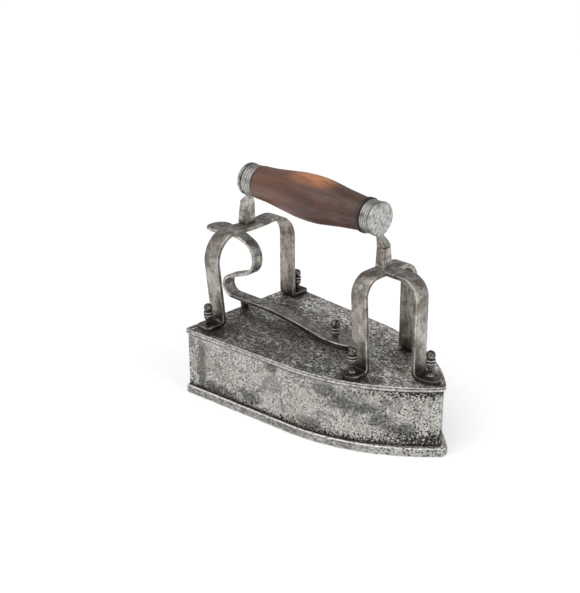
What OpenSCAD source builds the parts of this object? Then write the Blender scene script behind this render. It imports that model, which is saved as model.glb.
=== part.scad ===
// Box iron: a hollow flat iron heated by a loose iron slug.
// +X points to the nose, +Y to the left of someone ironing, +Z up.
// The origin lies on the sole's flat face, midway along the top plate.
// All lengths are in millimetres, all angles in degrees.

/* [Box] */
// Length of the top plate from stern to nose
plate_length = 180; // [170:1:200]
// Width of the top plate at the stern
stern_width = 104; // [98:1:112]
// Width of the top plate where its sides begin to curve in
mid_width = 92; // [86:1:97]
// Distance from the stern to where the sides begin to curve in
straight_length = 90; // [80:1:100]
// Radius of the top plate's nose in plan
nose_radius = 4.7; // [4:0.1:8]
// Thickness of the moulded top plate
plate_thickness = 3.4; // [3:0.1:5]
// Height of the side wall
wall_height = 38; // [34:0.5:46]
// Thickness of the side wall
wall_thickness = 3; // [2:0.1:4]
// How far the top plate's rim stands out past the wall
rim_overhang = 1.5; // [1:0.1:2.5]

/* [Sole] */
// Thickness of the sole plate
sole_thickness = 6.4; // [5.5:0.1:9]
// How far the sole stands out past the top plate along the sides
sole_margin = 0.6; // [0.2:0.1:2]
// How far the sole's nose reaches past the top plate's nose
sole_nose_reach = 2.7; // [1:0.1:5]
// Height of the two ribs that carry the slug
rib_height = 3.4; // [2:0.1:5]
// Width of a slug rib
rib_width = 4; // [3:0.5:8]
// Distance between the centres of the slug ribs
rib_spacing = 36; // [24:1:50]

/* [Slug] */
// Length of the heating slug
slug_length = 146; // [120:1:150]
// Height of the heating slug
slug_height = 20; // [15:0.5:22]
// Gap between the slug and the side walls
slug_side_gap = 4; // [3:0.5:10]
// Free play between the slug and the closed door
slug_play = 5; // [3:0.5:6]
// Radius of the hook hole in the slug
hook_hole_radius = 6; // [4:0.5:8]

/* [Door] */
// Thickness of the stern door
door_thickness = 5; // [4.4:0.1:6]
// Gap between the door and the box around it
door_gap = 0.4; // [0.3:0.05:0.5]
// Radius of the door's hinge pin
hinge_pin_radius = 1.25; // [1:0.05:1.3]
// Radius of the door knob
knob_radius = 4.5; // [3.5:0.1:6]
// Length of the door knob outside the door
knob_length = 10; // [8:0.5:12]

/* [Latch spring] */
// Thickness of the spring strap
spring_thickness = 2.2; // [1.8:0.1:2.6]
// Width of the strap beside its screw
spring_root_width = 22.8; // [18:0.2:26]
// Width of the strap over the door
spring_tail_width = 12.6; // [10:0.2:14]
// Width of the curl
curl_width = 10; // [8:0.2:12]
// Width of the leaf that the finger lifts
leaf_width = 12.4; // [10.4:0.2:14]
// Length of the leaf's straight end
leaf_reach = 15.5; // [13:0.5:18]
// Height of the strap's middle line above the top plate over the door
spring_rise = 7.2; // [6:0.1:8]
// Distance from the spring's screw forward to the strap's rounded end
spring_front = 20; // [15:1:22]
// Distance from the spring's screw back to where the strap starts to rise
rise_offset = 11; // [9:0.5:14]
// Distance from the door's outer face forward to where the strap meets its lower curl
curl_offset = 8; // [6:0.5:9]
// Radius of the lower curl's middle line
lower_curl_radius = 9.6; // [8.6:0.1:10.2]
// Radius of the upper curl's middle line
upper_curl_radius = 10.4; // [9:0.1:11]
// Length of the straight run between the upper curl and the leaf's bend
leaf_rise = 9.8; // [9:0.1:10.6]
// Radius of the bend from the upper curl into the leaf
leaf_bend = 30; // [26:1:34]
// Radius of the catch pin's tip
catch_radius = 1.5; // [1.2:0.05:1.6]
// Depth of the catch in the door's top edge
catch_depth = 3.1; // [2.5:0.1:4]
// Gap round the catch in the door's top edge
catch_gap = 0.4; // [0.3:0.05:0.5]

/* [Handle supports] */
// Width of the rear support's strap
rear_strap_width = 12.7; // [11.5:0.1:14]
// Width of the front supports' straps
front_strap_width = 12; // [10.5:0.1:13]
// Thickness of the support straps
strap_thickness = 2.8; // [2.4:0.1:3.4]
// Height of the support straps' tops above the top plate
support_height = 64.8; // [60:0.2:72]
// Width of the rear support across its legs
rear_span = 74; // [66:1:78]
// Radius of the rear support's shoulders
rear_shoulder = 19; // [14:0.5:24]
// How far the rear support's crown dips under its post
rear_dip = 0.8; // [0:0.1:1.2]
// How far the rear support's near leg is drawn in at its foot
rear_lean = 4.5; // [0:0.1:5]
// How far the front cross support's near leg is drawn in at its foot
front_lean = 2.6; // [0:0.1:3]
// Width of the front cross support across its legs
front_span = 50; // [44:1:54]
// Radius of the front cross support's shoulders
front_shoulder = 12.5; // [9:0.5:15]
// Distance from the front cross support's middle to the outer face of the nose leg
nose_leg_reach = 30.4; // [27:0.1:31]
// Radius of the nose leg's shoulder
nose_shoulder = 12.5; // [9:0.5:15]
// Length of a rear foot beyond its leg
rear_foot_length = 13.4; // [12:0.1:13.6]
// Distance from a rear leg to its screw
rear_screw_offset = 7.8; // [7:0.1:8.2]
// Distance from a front cross leg to its screw
front_screw_offset = 5.6; // [5.2:0.1:6]
// Length of the nose foot beyond its leg
nose_foot_length = 14.8; // [13:0.1:15.5]
// Distance from the nose leg to its screw
nose_screw_offset = 7.8; // [6.5:0.1:8]
// Inner radius of the bends between legs and feet
foot_bend = 1.6; // [1.2:0.1:1.8]

/* [Posts and handle] */
// Distance between the facing sides of the two round heads
head_spacing = 110.7; // [104:0.1:114]
// Position of the front head's facing side from the origin
front_head_x = 33.4; // [31:0.1:35]
// Depth of the front post along the iron at its foot
front_post_depth = 7.2; // [6.5:0.1:8]
// Depth of the rear post along the iron at its foot
rear_post_depth = 8.2; // [7:0.1:9]
// Width of the posts across the iron at their feet
post_width = 8.9; // [8:0.1:10]
// Width of the posts below their necks
post_top_width = 7; // [6:0.1:7.6]
// Radius of the round heads that clamp the grip
head_radius = 11; // [10.6:0.1:14]
// Thickness of the round heads
head_thickness = 3; // [2.4:0.1:4]
// Height of the handle's axis above the support straps
axis_height = 30.5; // [28:0.1:36]
// Radius of the ferrules
ferrule_radius = 10.7; // [10:0.1:12]
// Length of the rear ferrule
rear_ferrule_length = 9; // [6:0.5:12]
// Length of the front ferrule
front_ferrule_length = 7; // [5:0.5:12]
// Wall of the ferrules
ferrule_wall = 1.6; // [1.2:0.1:2.5]
// Largest radius of the wooden grip
grip_radius = 15.2; // [14:0.1:18]
// Radius of the grip at its ends
grip_end_radius = 11.2; // [10.8:0.1:12]
// Radius of the grip's neck behind its front collar
grip_neck_radius = 10.9; // [10.4:0.1:11.4]
// Distance from the grip's rear end to its widest place
grip_widest_length = 48.3; // [40:0.1:56]
// Width of the collar at the grip's front end
collar_width = 2.4; // [1.6:0.1:4]
// Radius of the handle rod
rod_radius = 3; // [2.5:0.1:4]

/* [Screws] */
// Height of a finial screw above its foot
finial_height = 17.8; // [15:0.2:20]
// Radius of a finial's ball
finial_ball = 3; // [2.5:0.1:3.4]
// Radius of a finial's rings
finial_ring = 3.3; // [3:0.1:3.6]
// Radius of a screw's shank
shank_radius = 1.9; // [1.5:0.05:2.2]

/* [Hidden] */

// Clearances shared by the fits
running_gap = 0.05;
seat_gap = 0.1;
slug_seat_gap = 0.2;
arc_steps = 22;
nose_steps = 5;
round_steps = 64;
skin = 0.01;

// Stations along X
stern_x = -plate_length / 2;
nose_x = stern_x + plate_length;
mid_x = stern_x + straight_length;
wall_stern_x = stern_x + rim_overhang;
door_inner_x = wall_stern_x + door_thickness;
door_mid_x = wall_stern_x + door_thickness / 2;
rear_head_x = front_head_x - head_spacing;
rear_strap_x = rear_head_x - 2;
front_strap_x = front_head_x + 6.6;
rear_tenon_x = rear_strap_x - 2.7;
front_tenon_x = front_strap_x - 1.8;
nose_leg_x = front_strap_x + nose_leg_reach;
spring_screw_x = mid_x - 1;

// Levels along Z
wall_top = sole_thickness + wall_height;
plate_top = wall_top + plate_thickness;
slug_bottom = sole_thickness + rib_height + slug_seat_gap;
foot_top = plate_top + strap_thickness;
strap_top = plate_top + support_height;
axis_z = strap_top + axis_height;
door_bottom = sole_thickness + door_gap;
door_top = wall_top - door_gap;

// Plan of the cavity
cavity_inset = rim_overhang + wall_thickness;
plate_slope = (stern_width - mid_width) / 2 / straight_length;
function plate_half(x) = stern_width / 2 - (x - stern_x) * plate_slope;
door_half = plate_half(door_inner_x) - cavity_inset - door_gap;
hinge_y = -(door_half - door_thickness / 2);

// Ends of the wood
grip_rear_x = rear_head_x + rear_ferrule_length;
grip_front_x = front_head_x - front_ferrule_length;

// Points along an arc, from angle a0 to angle a1
function arc(centre, radius, a0, a1, steps) =
    [for (i = [0:steps]) let (a = a0 + (a1 - a0) * i / steps)
        [centre[0] + radius * cos(a), centre[1] + radius * sin(a)]];
function tail(list) = [for (i = [1:len(list) - 1]) list[i]];
function flipped(list) = [for (i = [len(list) - 1:-1:0]) [list[i][0], -list[i][1]]];

// One side of the iron in plan: a straight run, then an arc tangent to it and to the nose circle
function side_points(x0, half0, x1, half1, tip_x, tip_r) =
    let (
        lean = atan((half0 - half1) / (x1 - x0)),
        n = [sin(lean), cos(lean)],
        nose = [tip_x - tip_r, 0],
        w = [x1, half1] - nose,
        r = (w * w - tip_r * tip_r) / (2 * (w * n - tip_r)),
        centre = [x1, half1] - r * n,
        turn = atan2(nose[1] - centre[1], nose[0] - centre[0])
    )
    concat(
        [[x0, half0]],
        arc(centre, r, 90 - lean, turn, arc_steps),
        tail(arc(nose, tip_r, turn, 0, nose_steps)));
function closed(side) = concat(side, tail(flipped(side)));

// Plan outlines drawn in from the top plate's edge and from the sole's edge
function plate_outline(inset, open_stern = 0) = closed(side_points(
    stern_x + inset - open_stern, stern_width / 2 - inset, mid_x, mid_width / 2 - inset,
    nose_x - inset, max(nose_radius - inset, 1)));
function sole_outline(inset) = closed(side_points(
    stern_x - sole_margin + inset, stern_width / 2 + sole_margin - inset,
    mid_x, mid_width / 2 + sole_margin - inset,
    nose_x + sole_nose_reach - inset, max(nose_radius + sole_margin - inset, 1)));

// Solid through a stack of outlines with equal point counts: [[outline, height], ...]
module stack(sections) {
    n = len(sections[0][0]);
    m = len(sections);
    points = [for (s = sections) for (p = s[0]) [p[0], p[1], s[1]]];
    sides = [for (k = [0:m - 2]) for (i = [0:n - 1]) let (j = (i + 1) % n)
        each [[k * n + i, k * n + j, (k + 1) * n + j], [k * n + i, (k + 1) * n + j, (k + 1) * n + i]]];
    polyhedron(points, concat(
        [[for (i = [n - 1:-1:0]) i]], [[for (i = [0:n - 1]) (m - 1) * n + i]], sides));
}

module rod_along_x(x0, x1, r) translate([x0, 0, axis_z]) rotate([0, 90, 0])
    cylinder(h = x1 - x0, r = r, $fn = round_steps);
module hole(x, y, z0, z1, r) translate([x, y, z0]) cylinder(h = z1 - z0, r = r, $fn = round_steps);

// Sole: rounded lower edge, upright edge and a small bead under the wall
sole_edge = [[1.7, 0], [0.7, 0.5], [0.15, 1.5], [0, 2.6], [0, 4.6], [0.35, 5.5], [1.1, 6.1]];
module slug_rib(y) translate([door_inner_x + slug_play + 6, y - rib_width / 2, sole_thickness - skin])
    cube([slug_length - 30, rib_width, rib_height + skin]);
module sole_plate() color([0.62, 0.61, 0.59]) difference() {
    union() {
        stack(concat(
            [for (e = sole_edge) [sole_outline(e[0]), e[1] * sole_thickness / 6.4]],
            [[sole_outline(1.3), sole_thickness]]));
        for (side = [-1, 1]) slug_rib(side * rib_spacing / 2);
    }
    hole(door_mid_x, hinge_y, sole_thickness / 2, sole_thickness + 1, hinge_pin_radius + running_gap);
}

// Side wall: one strip bent round the nose, open at the stern
module side_wall() color([0.7, 0.69, 0.67]) translate([0, 0, sole_thickness])
    linear_extrude(wall_height) difference() {
        polygon(plate_outline(rim_overhang));
        polygon(plate_outline(cavity_inset, 2 * cavity_inset));
    }

// Top plate: its rim carries two beads with a groove between them
rim_edge = [[0.9, 0], [0.3, 0.3], [0, 0.7], [0, 1.3], [0.45, 1.7], [0, 2.1], [0, 2.8], [0.35, 3.2]];
module top_plate() color([0.45, 0.44, 0.43]) difference() {
    translate([0, 0, wall_top]) stack(concat(
        [for (e = rim_edge) [plate_outline(e[0]), e[1] * plate_thickness / 3.4]],
        [[plate_outline(0.9), plate_thickness]]));
    for (p = concat(rear_screw_places, front_screw_places, [nose_screw_place, [spring_screw_x, 0]]))
        hole(p[0], p[1], wall_top - 1, plate_top + 1, shank_radius + running_gap);
    hole(door_mid_x, 0, wall_top - 1, plate_top + 1, catch_radius + 2 * catch_gap);
    hole(door_mid_x, hinge_y, wall_top - 1, plate_top + 1, hinge_pin_radius + running_gap);
}

// Heating slug: the cavity's shape, drawn in by its gap, with a hole for a hook
slug_stern_x = door_inner_x + slug_play;
slug_inset = cavity_inset + slug_side_gap;
slug_tip_radius = 8;
module heating_slug() color([0.33, 0.31, 0.3]) difference() {
    translate([0, 0, slug_bottom]) linear_extrude(slug_height) polygon(closed(side_points(
        slug_stern_x, plate_half(slug_stern_x) - slug_inset, mid_x, mid_width / 2 - slug_inset,
        slug_stern_x + slug_length, slug_tip_radius)));
    hole(slug_stern_x + 2.5 * hook_hole_radius, 0, slug_bottom - 1,
        slug_bottom + slug_height + 1, hook_hole_radius);
}

// Stern door: a plate whose hinge edge is rounded about the pin
module stern_door() color([0.66, 0.65, 0.63]) difference() {
    translate([0, 0, door_bottom]) union() {
        translate([wall_stern_x, hinge_y, 0])
            cube([door_thickness, door_half - hinge_y, door_top - door_bottom]);
        translate([door_mid_x, hinge_y, 0])
            cylinder(h = door_top - door_bottom, r = door_thickness / 2, $fn = round_steps);
    }
    hole(door_mid_x, hinge_y, door_bottom - 1, door_top + 1, hinge_pin_radius + running_gap);
    hole(door_mid_x, 0, door_top - catch_depth - 1.2, door_top + 1, catch_radius + catch_gap);
    translate([wall_stern_x - 1, knob_y, knob_z]) rotate([0, 90, 0])
        cylinder(h = door_thickness + 2, r = knob_shank_radius + running_gap, $fn = round_steps);
}

// Hinge pin: let into the sole below and the top plate above
module hinge_pin() color([0.5, 0.49, 0.47])
    hole(door_mid_x, hinge_y, sole_thickness / 2, plate_top, hinge_pin_radius);

// Door knob: turned, with a shank riveted through the door
knob_y = door_half - 14;
knob_z = (door_bottom + door_top) / 2;
knob_shank_radius = knob_radius * 0.4;
module door_knob() color([0.5, 0.48, 0.45]) translate([wall_stern_x, knob_y, knob_z])
    rotate([0, -90, 0]) rotate_extrude($fn = round_steps) polygon(concat(
        [[0, -door_thickness], [knob_shank_radius, -door_thickness], [knob_shank_radius, 0],
            [knob_radius * 0.75, 0], [knob_radius * 0.75, 1]],
        arc([knob_radius * 0.45 + 2, knob_length * 0.3], 2, 230, 150, 4),
        arc([0, knob_length - knob_radius], knob_radius, -10, 90, 8)));

// Latch spring in side view: its middle line runs from the strap's front end back over the door,
// round the lower curl, forward, round the upper curl and back to the tip of the leaf
strap_mid_z = plate_top + spring_thickness / 2;
tail_z = plate_top + spring_rise;
flex_x = spring_screw_x - rise_offset;
tail_x = wall_stern_x + curl_offset;
lower_centre = [tail_x - curl_offset - 3, tail_z + lower_curl_radius];
upper_centre = [lower_centre[0] + 7.5, lower_centre[1] + lower_curl_radius + 1 + upper_curl_radius];
curl_turn = 65;
curl_end = upper_centre + upper_curl_radius * [cos(curl_turn), sin(curl_turn)];
leaf_foot = curl_end + leaf_rise * [-sin(curl_turn), cos(curl_turn)];
leaf_centre = leaf_foot - leaf_bend * [cos(curl_turn), sin(curl_turn)];
leaf_turn = 100;
leaf_knee = leaf_centre + leaf_bend * [cos(leaf_turn), sin(leaf_turn)];
leaf_tip = leaf_knee + leaf_reach * [-sin(leaf_turn), cos(leaf_turn)];
spring_line = concat(
    [[spring_screw_x + spring_front, strap_mid_z], [flex_x, strap_mid_z]],
    [for (i = [1:6]) let (t = i / 6) [
        flex_x + (tail_x - flex_x) * t,
        strap_mid_z + (tail_z - strap_mid_z) * (1.6 * t * t - 0.6 * t * t * t)]],
    arc(lower_centre, lower_curl_radius, -90, -264, 16),
    arc(upper_centre, upper_curl_radius, -84, curl_turn, 14),
    arc(leaf_centre, leaf_bend, curl_turn, leaf_turn, 5),
    [leaf_tip]);
function normal_at(line, i) =
    let (d = line[min(i + 1, len(line) - 1)] - line[max(i - 1, 0)])
    [-d[1], d[0]] / norm(d);
function ribbon(line, thickness) = concat(
    [for (i = [0:len(line) - 1]) line[i] + normal_at(line, i) * thickness / 2],
    [for (i = [len(line) - 1:-1:0]) line[i] - normal_at(line, i) * thickness / 2]);

// Latch spring in plan: half-widths of the strap, then of the curl and its leaf
strap_front_x = spring_screw_x + spring_front;
strap_plan = concat(
    [[strap_front_x, 2.5], [strap_front_x - 1.5, 4.5], [strap_front_x - 0.45 * spring_front, spring_root_width * 0.41]],
    [[spring_screw_x + 2, spring_root_width / 2], [spring_screw_x - 3, spring_root_width / 2]],
    [[tail_x, spring_tail_width / 2], [lower_centre[0] - 5, curl_width / 2], [leaf_tip[0], curl_width / 2]]);
leaf_mid_x = leaf_tip[0] + 0.75 * leaf_width;
leaf_plan = concat(
    [[tail_x + 20, curl_width / 2], [leaf_knee[0] + 2, curl_width / 2], [leaf_mid_x + 3.5, leaf_width * 0.48]],
    arc([leaf_mid_x, 0], leaf_width / 2, 90, 130, 4),
    arc([leaf_tip[0] + 2.6, 0], 2.6, 120, 180, 4));
module plan_block(plan, z0, z1) translate([0, 0, z0]) linear_extrude(z1 - z0)
    polygon(concat(plan, flipped(plan)));
module catch() {
    boss_z = plate_top + 0.3;
    boss_top = tail_z - spring_thickness / 2 + 0.3;
    translate([door_mid_x, 0, boss_z])
        cylinder(h = boss_top - boss_z, r1 = catch_radius + 1.2, r2 = catch_radius + 1.9, $fn = round_steps);
    hole(door_mid_x, 0, door_top - catch_depth, boss_top, catch_radius);
}
module latch_spring() color([0.55, 0.53, 0.5]) difference() {
    union() {
        intersection() {
            translate([0, spring_root_width, 0]) rotate([90, 0, 0])
                linear_extrude(2 * spring_root_width) polygon(ribbon(spring_line, spring_thickness));
            union() {
                plan_block(strap_plan, plate_top - 1, tail_z + spring_thickness);
                plan_block(leaf_plan, tail_z + spring_thickness - skin, strap_top);
            }
        }
        catch();
    }
    hole(spring_screw_x, 0, plate_top - 1, plate_top + 2 * spring_thickness, shank_radius + running_gap);
}

// Finial screw: bead, waisted cone, two rings and a ball over a plain shank
function finial_profile(h, shank_bottom) = concat(
    [[0, shank_bottom], [shank_radius, shank_bottom], [shank_radius, 0], [2.3, 0]],
    arc([1.5, 0.09 * h / 2], 0.09 * h / 2 + 0.3, -20, 60, 3),
    [[1.6, 0.12 * h], [1.7, 0.2 * h], [2.9, 0.5 * h],
        [finial_ring, 0.52 * h], [finial_ring, 0.56 * h], [2.3, 0.575 * h], [2.3, 0.63 * h],
        [finial_ring, 0.645 * h], [finial_ring, 0.685 * h]],
    arc([0, h - finial_ball], finial_ball, -35, 90, 8));
module finial_screw(x, y, seat) translate([x, y, seat]) rotate_extrude($fn = 48)
    polygon(finial_profile(finial_height, wall_top - seat));
rear_screw_places = [
    [rear_strap_x, -(rear_span / 2 - rear_lean + rear_screw_offset)],
    [rear_strap_x, rear_span / 2 + rear_screw_offset]];
front_screw_places = [
    [front_strap_x, -(front_span / 2 - front_lean + front_screw_offset + front_lean / 2)],
    [front_strap_x, front_span / 2 + front_screw_offset - 0.6]];
nose_screw_place = [nose_leg_x + nose_screw_offset, 0];
module spring_screw() color([0.4, 0.36, 0.33])
    finial_screw(spring_screw_x, 0, plate_top + spring_thickness);
module rear_foot_screws() color([0.4, 0.36, 0.33])
    for (p = rear_screw_places) finial_screw(p[0], p[1], foot_top);
module front_foot_screws() color([0.4, 0.36, 0.33])
    for (p = concat(front_screw_places, [nose_screw_place])) finial_screw(p[0], p[1], foot_top);
module screw_holes(places)
    for (p = places) hole(p[0], p[1], plate_top - 1, foot_top + 1, shank_radius + running_gap);
module tenon_hole(x) hole(x, 0, strap_top - 4 * strap_thickness, strap_top + 1, tenon_radius + running_gap);

// Half of a bent strap in end view, from the crown out to the foot's end, outside then inside.
// The leg is drawn in by lean between its shoulder and its foot.
function half_outside(half, foot_end, shoulder, dip, lean) = concat(
    [[half * 0.2, support_height - dip]],
    arc([half - shoulder, support_height - shoulder], shoulder, 90, 0, 12),
    arc([half - lean + foot_bend, strap_thickness + foot_bend], foot_bend, 180, 270, 4),
    [[foot_end, strap_thickness]]);
function half_inside(half, foot_end, shoulder, dip, lean) = concat(
    [[half * 0.2, support_height - dip - strap_thickness]],
    arc([half - shoulder, support_height - shoulder], shoulder - strap_thickness, 90, 0, 12),
    arc([half - lean + foot_bend, strap_thickness + foot_bend], foot_bend + strap_thickness, 180, 270, 6),
    [[foot_end, 0]]);
function half_strap(half, foot_end, shoulder, dip, lean) = concat(
    half_outside(half, foot_end, shoulder, dip, lean),
    [for (p = let (list = half_inside(half, foot_end, shoulder, dip, lean))
        [for (i = [len(list) - 1:-1:0]) list[i]]) p]);
function left_of(list) = [for (i = [len(list) - 1:-1:0]) [-list[i][0], list[i][1]]];
module bent_strap(x, width, half, ends, shoulder, dip, lean) {
    near = half_strap(half, ends[0], shoulder, dip, lean);
    far = half_strap(half, ends[1], shoulder, dip, 0);
    translate([x - width / 2, 0, plate_top]) rotate([90, 0, 90]) linear_extrude(width)
        polygon(concat(far, left_of(near)));
}

// Rear support: one strap over the stern, its feet clipped at their corners
rear_foot_ends = [rear_span / 2 - rear_lean + rear_foot_length, rear_span / 2 + rear_foot_length];
foot_clip = 1.6;
module rear_plan() {
    w = rear_strap_width / 2;
    near = -rear_foot_ends[0];
    far = rear_foot_ends[1];
    translate([rear_strap_x, 0]) polygon([
        [-w, near + foot_clip], [-w, far - foot_clip], [-w + foot_clip, far], [w - foot_clip, far],
        [w, far - foot_clip], [w, near + foot_clip], [w - foot_clip, near], [-w + foot_clip, near]]);
}
module rear_support() color([0.6, 0.58, 0.55]) difference() {
    intersection() {
        bent_strap(rear_strap_x, rear_strap_width + 4, rear_span / 2, rear_foot_ends,
            rear_shoulder, rear_dip, rear_lean);
        translate([0, 0, plate_top - 1]) linear_extrude(support_height + 2) rear_plan();
    }
    screw_holes(rear_screw_places);
    tenon_hole(rear_tenon_x);
}

// Front cross support: its feet end in half rounds about their screws; its crown is halved
// from below where the nose leg is let in
front_foot_radius = front_strap_width / 2;
module front_plan() {
    translate([front_strap_x - front_foot_radius, front_screw_places[0][1]])
        square([front_strap_width, front_screw_places[1][1] - front_screw_places[0][1]]);
    for (p = front_screw_places) translate(p) circle(r = front_foot_radius, $fn = round_steps);
}
module front_cross_support() color([0.62, 0.6, 0.57]) difference() {
    intersection() {
        bent_strap(front_strap_x, front_strap_width, front_span / 2, [front_span / 2 + 20, front_span / 2 + 20],
            front_shoulder, 0, front_lean);
        translate([0, 0, plate_top - 1]) linear_extrude(support_height + 2) front_plan();
    }
    screw_holes(front_screw_places);
    tenon_hole(front_tenon_x);
    translate([front_strap_x - front_strap_width, -front_strap_width / 2, strap_top - 2 * strap_thickness])
        cube([2 * front_strap_width, front_strap_width, 1.5 * strap_thickness]);
}

// Nose leg: halved into the cross support's crown, bent down to the nose, its foot drawn to a point
module nose_plan() {
    w = front_strap_width / 2;
    foot_x = nose_leg_x + foot_bend;
    tip_x = nose_leg_x + nose_foot_length;
    half = [[front_strap_x - w, w], [foot_x, w], [foot_x + 2, w + 0.5],
        [foot_x + 0.45 * nose_foot_length, w + 0.3], [tip_x - 1.5, w * 0.75], [tip_x, w * 0.4]];
    polygon(concat(half, flipped(half)));
}
module nose_leg() color([0.66, 0.64, 0.6]) {
    half_crown = strap_thickness / 2;
    difference() {
        intersection() {
            translate([front_strap_x, front_strap_width, plate_top]) rotate([90, 0, 0])
                linear_extrude(2 * front_strap_width) polygon(concat(
                    [[-front_strap_width, support_height]],
                    tail(half_strap(nose_leg_reach, nose_leg_reach + nose_foot_length, nose_shoulder, 0, 0)),
                    [[-front_strap_width, support_height - strap_thickness]]));
            translate([0, 0, plate_top - 1]) linear_extrude(support_height + 2) nose_plan();
        }
        screw_holes([nose_screw_place]);
        tenon_hole(front_tenon_x);
        translate([front_strap_x - 1.5 * front_strap_width, -front_strap_width, strap_top - half_crown])
            cube([2 * front_strap_width, 2 * front_strap_width, 2 * strap_thickness]);
    }
}

// Posts: a tapered square shaft on a riveted tenon, a bevelled shoulder, a thin neck and a round
// head; each shaft stands on the outer side of its head
tenon_radius = 2.2;
bevel_z = axis_z - head_radius - 5;
neck_z = bevel_z + 4;
neck_top = axis_z - head_radius + 1.2;
module post(head_x, outward, depth, base_z, tenon_x, tenon_bottom) difference() {
    union() {
        intersection() {
            translate([head_x, post_width, 0]) rotate([90, 0, 0]) linear_extrude(2 * post_width)
                polygon([for (p = [[1.2, base_z], [1.2 + depth, base_z], [0.8 + 0.9 * depth, bevel_z],
                    [head_thickness + 1.4, neck_z], [head_thickness, neck_z + 1.5], [head_thickness, neck_top],
                    [0, neck_top], [0, neck_z + 1.5], [0.6, neck_z]]) [outward * p[0], p[1]]]);
            translate([head_x - 2 * depth, 0, 0]) rotate([90, 0, 90]) linear_extrude(4 * depth)
                polygon([[-post_width / 2, base_z], [post_width / 2, base_z], [post_top_width / 2, bevel_z],
                    [2.6, neck_z], [2.6, neck_top], [-2.6, neck_top], [-2.6, neck_z], [-post_top_width / 2, bevel_z]]);
        }
        rod_along_x(min(head_x, head_x + outward * head_thickness),
            max(head_x, head_x + outward * head_thickness), head_radius);
        hole(tenon_x, 0, tenon_bottom, base_z + 1, tenon_radius);
    }
    rod_along_x(head_x - 2 * head_thickness, head_x + 2 * head_thickness, rod_radius + running_gap);
}
module rear_post() color([0.6, 0.58, 0.55]) post(rear_head_x, -1, rear_post_depth,
    strap_top - rear_dip, rear_tenon_x, strap_top - rear_dip - strap_thickness);
module front_post() color([0.6, 0.58, 0.55]) post(front_head_x, 1, front_post_depth,
    strap_top, front_tenon_x, strap_top - strap_thickness);

// Ferrules: bands between the heads and the wood
module ferrule(x0, x1) difference() {
    rod_along_x(x0 + skin, x1 - skin, ferrule_radius);
    rod_along_x(x0 - 1, x1 + 1, ferrule_radius - ferrule_wall);
}
module rear_ferrule() color([0.7, 0.69, 0.67]) ferrule(rear_head_x, grip_rear_x);
module front_ferrule() color([0.7, 0.69, 0.67]) ferrule(grip_front_x, front_head_x);

// Grip: a barrel that swells evenly from both ends, with a collar at its front
// and a tenon in each ferrule
grip_length = grip_front_x - grip_rear_x;
tenon_wood = ferrule_radius - ferrule_wall - seat_gap;
grip_end_flat = grip_length * 0.03;
grip_neck_x = grip_length - collar_width - 1.9;
grip_steps = 11;
function swell(x0, r0, x1, r1) = [for (i = [0:grip_steps]) let (t = i / grip_steps)
    [r0 + (r1 - r0) * (1 - cos(180 * t)) / 2, x0 + (x1 - x0) * t]];
module grip() color([0.34, 0.23, 0.19]) translate([grip_rear_x, 0, axis_z]) rotate([0, 90, 0])
    rotate_extrude($fn = round_steps) polygon(concat(
        [[rod_radius + seat_gap, -rear_ferrule_length + seat_gap], [tenon_wood, -rear_ferrule_length + seat_gap],
            [tenon_wood, 0], [grip_end_radius - 0.4, 0]],
        swell(grip_end_flat, grip_end_radius, grip_widest_length, grip_radius),
        tail(swell(grip_widest_length, grip_radius, grip_neck_x, grip_neck_radius)),
        [[grip_end_radius + 0.3, grip_length - collar_width], [grip_end_radius + 0.3, grip_length],
            [tenon_wood, grip_length], [tenon_wood, grip_length + front_ferrule_length - seat_gap],
            [rod_radius + seat_gap, grip_length + front_ferrule_length - seat_gap]]));

// Handle rod: runs through both heads and the grip, its ends peened flush
module handle_rod() color([0.5, 0.49, 0.47])
    rod_along_x(rear_head_x - head_thickness, front_head_x + head_thickness, rod_radius);

sole_plate();
side_wall();
top_plate();
heating_slug();
stern_door();
hinge_pin();
door_knob();
latch_spring();
spring_screw();
rear_support();
front_cross_support();
nose_leg();
rear_foot_screws();
front_foot_screws();
rear_post();
front_post();
rear_ferrule();
front_ferrule();
grip();
handle_rod();
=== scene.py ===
"""Looks of the box iron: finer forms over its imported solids, worn metals and wood, floor, lights and camera.

Lengths in this file are millimetres in the part's own frame, and angles are degrees.
"""

import math

import bmesh
import bpy
from mathutils import Euler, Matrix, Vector


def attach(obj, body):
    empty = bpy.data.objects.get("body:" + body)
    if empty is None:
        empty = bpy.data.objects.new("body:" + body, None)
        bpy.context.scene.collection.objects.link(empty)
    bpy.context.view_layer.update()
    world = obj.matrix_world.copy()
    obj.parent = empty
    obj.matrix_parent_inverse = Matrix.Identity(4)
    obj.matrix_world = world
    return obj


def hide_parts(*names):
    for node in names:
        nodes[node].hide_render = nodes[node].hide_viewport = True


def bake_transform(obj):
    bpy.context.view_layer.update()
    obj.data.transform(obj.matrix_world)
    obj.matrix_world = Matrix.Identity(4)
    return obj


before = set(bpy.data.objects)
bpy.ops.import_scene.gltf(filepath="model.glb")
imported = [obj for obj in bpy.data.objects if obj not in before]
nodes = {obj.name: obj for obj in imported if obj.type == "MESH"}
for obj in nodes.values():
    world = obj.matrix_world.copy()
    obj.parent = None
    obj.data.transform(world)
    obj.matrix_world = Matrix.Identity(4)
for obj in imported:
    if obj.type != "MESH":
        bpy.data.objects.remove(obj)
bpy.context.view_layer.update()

MM = 0.001
TAU = 2 * math.pi
WELD = 0.01

# The box, with the sizes of the part's source
STERN_X, MID_X, NOSE_X = -90.0, 0.0, 90.0
STERN_HALF, MID_HALF = 52.0, 46.0
NOSE_RADIUS = 4.7
SOLE_MARGIN, SOLE_REACH = 0.6, 2.7
SOLE_TOP, WALL_TOP, PLATE_TOP = 6.4, 44.4, 47.8
RIM_OVERHANG, WALL = 1.5, 3.0
RIM_GROOVE_Z = WALL_TOP + 2.02
DOOR_MID_X = -86.0

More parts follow.
